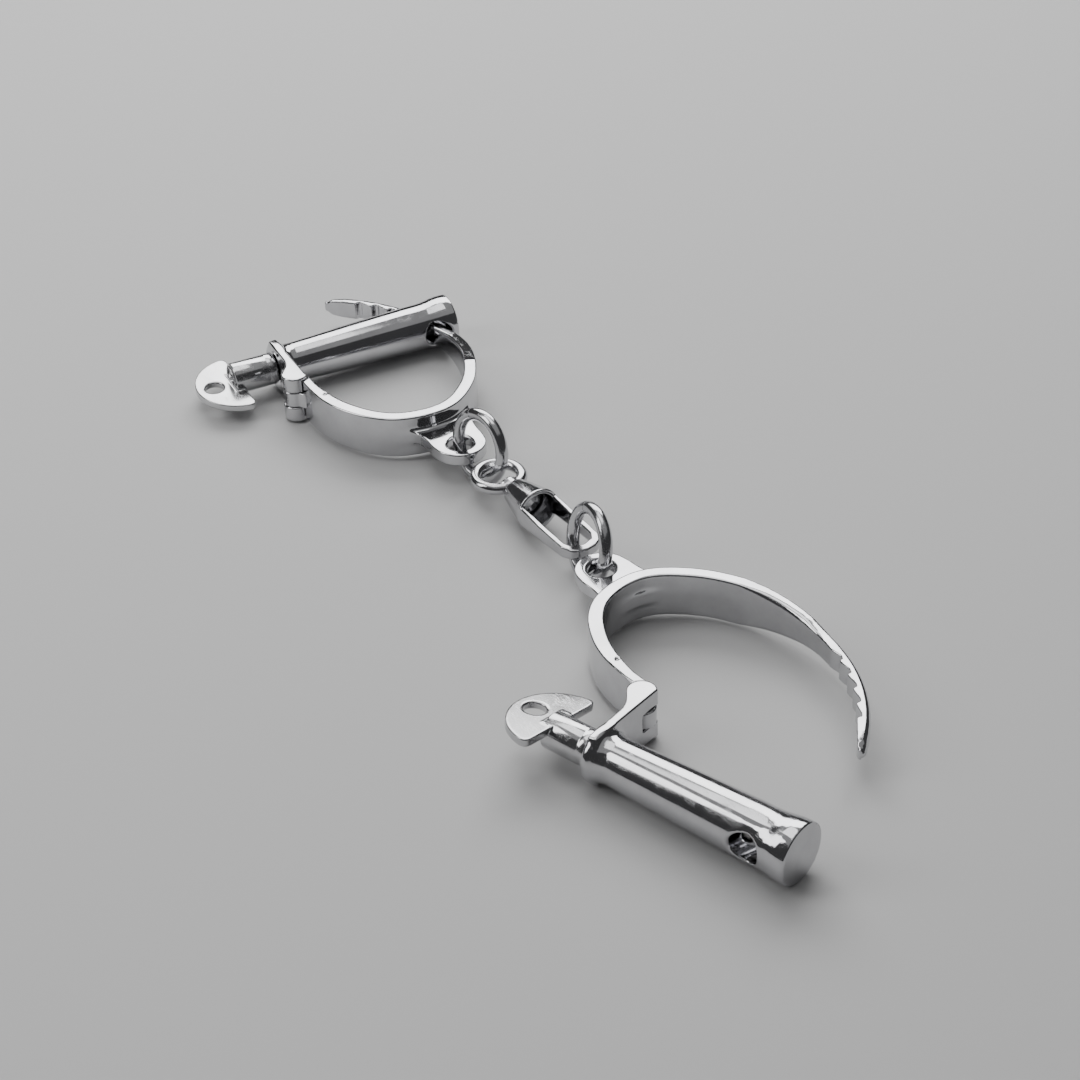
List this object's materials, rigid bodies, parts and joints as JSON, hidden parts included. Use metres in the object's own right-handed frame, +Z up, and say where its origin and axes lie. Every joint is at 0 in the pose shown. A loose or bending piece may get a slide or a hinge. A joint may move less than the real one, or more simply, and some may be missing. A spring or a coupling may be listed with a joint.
{
  "type": "handcuffs",
  "caption": "Pair of plated screw-key handcuffs: toothed bows hinged on tubular lock barrels, joined by a ring, swivel and ring chain.",
  "frame": {"origin": "centre of the bounding box, on the surface the cuffs lie on", "axes": "+X along the chain from the closed cuff to the open cuff, +Z up through the thickness of the cuffs"},
  "size_m": [0.3998, 0.126, 0.0318],
  "materials": {
    "nickel_plate": "polished nickel plate with fine handling scratches",
    "chain_plate": "polished plate, slightly duller and more rubbed",
    "key_plate_metal": "polished plate over brazed steel, pitted at the joint",
    "pin_steel": "bare turned steel",
    "lock_steel": "oiled bare steel"
  },
  "bodies": {
    "cuff_a": {"barrel_a": "nickel_plate", "hinge_pin_a": "pin_steel", "spring_seat_a": "lock_steel"},
    "bow_a": {"bow_a": "nickel_plate"},
    "key_a": {"key_shank_a": "key_plate_metal", "key_plate_a": "key_plate_metal"},
    "bolt_a": {"lock_bolt_a": "lock_steel", "lock_spring_a": "lock_steel"},
    "ring_a": {"ring_a": "chain_plate"},
    "swivel_eye": {"swivel_eye": "chain_plate"},
    "swivel_yoke": {"swivel_yoke": "chain_plate"},
    "ring_b": {"ring_b": "chain_plate"},
    "bow_b": {"bow_b": "nickel_plate"},
    "cuff_b": {"barrel_b": "nickel_plate", "hinge_pin_b": "pin_steel", "spring_seat_b": "lock_steel"},
    "key_b": {"key_shank_b": "key_plate_metal", "key_plate_b": "key_plate_metal"},
    "bolt_b": {"lock_bolt_b": "lock_steel", "lock_spring_b": "lock_steel"}
  },
  "joints": [
    {"name": "bow_a_hinge", "type": "hinge", "parent": "cuff_a", "child": "bow_a", "pos_m": [-0.13926, -0.02063, 0.011], "axis": [0, 0, -1], "range_deg": [0, 110]},
    {"name": "key_a_turn", "type": "hinge", "parent": "cuff_a", "child": "key_a", "pos_m": [-0.16507, -0.03346, 0.011], "axis": [0.0698, 0.9976, 0], "range_deg": [0, 1260]},
    {"name": "bolt_a_slide", "type": "slide", "parent": "cuff_a", "child": "bolt_a", "axis": [-0.0698, -0.9976, 0], "range_m": [0, 0.0036]},
    {"name": "ring_a_swing", "type": "hinge", "parent": "bow_a", "child": "ring_a", "pos_m": [-0.0659, 0.0152, 0.011], "axis": [0, 0, 1], "range_deg": [-25, 15]},
    {"name": "swivel_eye_swing", "type": "hinge", "parent": "ring_a", "child": "swivel_eye", "pos_m": [-0.0454, 0.0185, 0.0095], "axis": [0, 0, 1], "range_deg": [-30, 30]},
    {"name": "swivel_spin", "type": "hinge", "parent": "swivel_eye", "child": "swivel_yoke", "pos_m": [-0.04187, 0.01829, 0.0095], "axis": [0.9997, 0.0244, 0], "continuous": true},
    {"name": "ring_b_swing", "type": "hinge", "parent": "swivel_yoke", "child": "ring_b", "pos_m": [0.0118, 0.0189, 0.0095], "axis": [0, 0, 1], "range_deg": [-3, 30]},
    {"name": "bow_b_swing", "type": "hinge", "parent": "ring_b", "child": "bow_b", "pos_m": [0.0363, 0.0155, 0.011], "axis": [0, 0, 1], "range_deg": [-30, 30]},
    {"name": "cuff_b_hinge", "type": "hinge", "parent": "bow_b", "child": "cuff_b", "pos_m": [0.11143, -0.01647, 0.011], "axis": [0, 0, 1], "range_deg": [-32, 78]},
    {"name": "key_b_turn", "type": "hinge", "parent": "cuff_b", "child": "key_b", "pos_m": [0.10572, -0.04472, 0.011], "axis": [0.9455, 0.3256, 0], "range_deg": [0, 1260]},
    {"name": "bolt_b_slide", "type": "slide", "parent": "cuff_b", "child": "bolt_b", "axis": [-0.9455, -0.3256, 0], "range_m": [0, 0.0036]}
  ],
  "couplings": [
    {"joint": "bolt_a_slide", "follows": "key_a_turn", "m_per_rad": 0.00015915},
    {"joint": "bolt_b_slide", "follows": "key_b_turn", "m_per_rad": 0.00015915}
  ]
}
